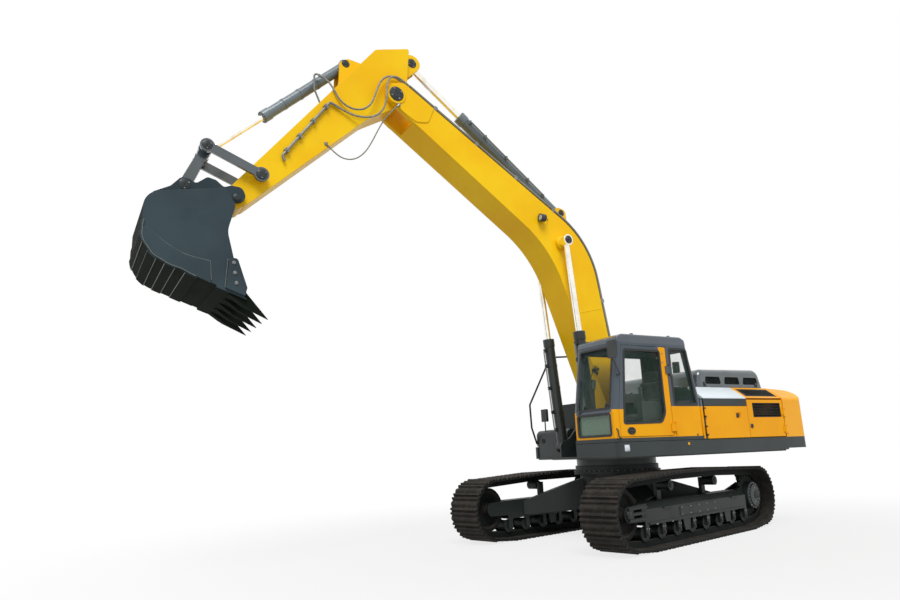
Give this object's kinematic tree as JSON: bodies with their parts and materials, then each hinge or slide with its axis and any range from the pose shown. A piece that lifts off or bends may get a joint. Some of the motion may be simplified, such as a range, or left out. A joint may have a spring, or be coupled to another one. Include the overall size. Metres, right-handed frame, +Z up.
{
  "type": "crawler excavator",
  "caption": "Hydraulic crawler excavator with a slewing house, cab on the left, gooseneck boom, stick and toothed bucket worked by cylinders.",
  "frame": {"origin": "on the ground under the slewing axis", "axes": "+X is the way the house, cab and boom face, +Y is the house's left, the cab's side, and +Z is up; the tracks stand turned 13.3 degrees to the left of the house"},
  "size_m": [11.3017, 4.2496, 7.9783],
  "materials": {
    "yellow_paint": "satin paint",
    "slate_paint": "satin paint",
    "black_paint": "satin paint",
    "pale_paint": "gloss paint",
    "track_steel": "rolled steel, lightly rusted",
    "barrel_paint": "satin paint",
    "rod_chrome": "polished",
    "pipe_steel": "satin paint",
    "hose_rubber": "matte",
    "window_glass": "clear, green tint",
    "seat_cloth": "woven",
    "cab_plastic": "grained",
    "engine_metal": "cast",
    "lamp_plastic": "moulded"
  },
  "bodies": {
    "undercarriage": {"carbody": "black_paint", "slew_ring": "black_paint", "track_frame_left": "black_paint", "track_frame_right": "black_paint", "track_left": "track_steel", "track_right": "track_steel", "track_rollers": "black_paint", "idlers": "track_steel", "drive_sprockets": "black_paint"},
    "house": {"main_frame": "slate_paint", "side_skirts": "slate_paint", "counterweight": "yellow_paint", "engine_block": "engine_metal", "bevel_front_left": "pale_paint", "bevel_rear_left": "yellow_paint", "cowl": "slate_paint", "tanks": "yellow_paint", "toolbox": "slate_paint", "cab_left_wall": "slate_paint", "cab_right_wall": "slate_paint", "cab_front_frame": "slate_paint", "cab_rear_wall": "slate_paint", "cab_floor": "slate_paint", "cab_roof": "slate_paint", "cab_glass": "window_glass", "seat": "seat_cloth", "controls": "cab_plastic", "handrails": "black_paint", "mirrors": "lamp_plastic"},
    "engine_hood": {"engine_hood": "slate_paint", "exhaust_stack": "black_paint"},
    "side_door_front_left": {"side_door_front_left": "yellow_paint"},
    "side_door_rear_left": {"side_door_rear_left": "yellow_paint"},
    "side_door_right": {"side_door_right": "yellow_paint"},
    "cab_door": {"cab_door": "yellow_paint", "cab_door_glass": "window_glass"},
    "boom": {"boom": "yellow_paint", "boom_pipes": "pipe_steel", "work_lamp": "lamp_plastic", "hose_upper": "hose_rubber", "hose_lower": "hose_rubber", "hose_thin": "hose_rubber"},
    "boom_barrels": {"boom_cylinder_barrels": "barrel_paint"},
    "boom_rods": {"boom_cylinder_rods": "rod_chrome"},
    "stick": {"stick": "yellow_paint", "stick_pipes": "pipe_steel"},
    "stick_barrel": {"stick_cylinder_barrel": "barrel_paint"},
    "stick_rod": {"stick_cylinder_rod": "rod_chrome"},
    "bucket_barrel": {"bucket_cylinder_barrel": "barrel_paint"},
    "bucket_rod": {"bucket_cylinder_rod": "rod_chrome"},
    "rocker": {"rocker_arms": "slate_paint"},
    "link": {"bucket_link": "slate_paint"},
    "bucket": {"bucket": "slate_paint", "bucket_teeth": "slate_paint"}
  },
  "joints": [
    {"name": "swing", "type": "hinge", "parent": "undercarriage", "child": "house", "pos_m": [0, 0, 1.15], "axis": [0, 0, 1], "continuous": true},
    {"name": "boom_lift", "type": "hinge", "parent": "house", "child": "boom", "pos_m": [0.13, 0, 2.025], "axis": [0, -1, 0], "range_deg": [-95, 10]},
    {"name": "stick_curl", "type": "hinge", "parent": "boom", "child": "stick", "pos_m": [4.195, 0, 7.045], "axis": [0, 1, 0], "range_deg": [-57, 48], "deforming": ["hose_upper", "hose_lower", "hose_thin"]},
    {"name": "bucket_curl", "type": "hinge", "parent": "stick", "child": "bucket", "pos_m": [6.605, 0, 4.92], "axis": [0, 1, 0], "range_deg": [-85, 75]},
    {"name": "boom_cylinder_swing", "type": "hinge", "parent": "house", "child": "boom_barrels", "pos_m": [0.8, 0, 1.485], "axis": [0, -1, 0], "range_deg": [-98, 11]},
    {"name": "boom_rod_slide", "type": "slide", "parent": "boom_barrels", "child": "boom_rods", "axis": [0.0805, 0, 0.9968], "range_m": [-1.27, 0.14]},
    {"name": "stick_cylinder_swing", "type": "hinge", "parent": "boom", "child": "stick_barrel", "pos_m": [0.9, 0, 5.58], "axis": [0, 1, 0], "range_deg": [-1.5, 1.3]},
    {"name": "stick_rod_slide", "type": "slide", "parent": "stick_barrel", "child": "stick_rod", "axis": [0.7951, 0, 0.6065], "range_m": [-0.75, 0.64]},
    {"name": "rocker_swing", "type": "hinge", "parent": "stick", "child": "rocker", "pos_m": [6.29, 0, 5.29], "axis": [0, 1, 0], "range_deg": [-70, 62]},
    {"name": "link_swing", "type": "hinge", "parent": "rocker", "child": "link", "pos_m": [7.02, 0, 5.58], "axis": [0, 1, 0], "range_deg": [-41.5, 46.8]},
    {"name": "bucket_cylinder_swing", "type": "hinge", "parent": "stick", "child": "bucket_barrel", "pos_m": [4.98, 0, 7.47], "axis": [0, 1, 0], "range_deg": [-7, 6.2]},
    {"name": "bucket_rod_slide", "type": "slide", "parent": "bucket_barrel", "child": "bucket_rod", "axis": [0.7336, 0, -0.6796], "range_m": [-0.8, 0.71]},
    {"name": "cab_door_hinge", "type": "hinge", "parent": "house", "child": "cab_door", "pos_m": [0.066, 1.493, 2.2], "axis": [0, 0, 1], "range_deg": [0, 165]},
    {"name": "side_door_front_left_hinge", "type": "hinge", "parent": "house", "child": "side_door_front_left", "pos_m": [-0.628, 1.496, 1.8], "axis": [0, 0, 1], "range_deg": [-110, 0]},
    {"name": "side_door_rear_left_hinge", "type": "hinge", "parent": "house", "child": "side_door_rear_left", "pos_m": [-2.627, 1.496, 1.8], "axis": [0, 0, -1], "range_deg": [-110, 0]},
    {"name": "side_door_right_hinge", "type": "hinge", "parent": "house", "child": "side_door_right", "pos_m": [-2.627, -1.496, 1.8], "axis": [0, 0, 1], "range_deg": [-110, 0]},
    {"name": "engine_hood_hinge", "type": "hinge", "parent": "house", "child": "engine_hood", "pos_m": [-0.878, 0, 2.415], "axis": [0, 1, 0], "range_deg": [0, 65]}
  ],
  "couplings": [
    {"joint": "boom_cylinder_swing", "follows": "boom_lift", "ratio": 1.025},
    {"joint": "boom_rod_slide", "follows": "boom_lift", "m_per_rad": 0.7588},
    {"joint": "stick_cylinder_swing", "follows": "stick_curl", "ratio": 0.0216},
    {"joint": "stick_rod_slide", "follows": "stick_curl", "m_per_rad": 0.7451},
    {"joint": "rocker_swing", "follows": "bucket_curl", "ratio": 0.8196},
    {"joint": "link_swing", "follows": "bucket_curl", "ratio": -0.544},
    {"joint": "bucket_cylinder_swing", "follows": "bucket_curl", "ratio": 0.0789},
    {"joint": "bucket_rod_slide", "follows": "bucket_curl", "m_per_rad": 0.5323}
  ]
}
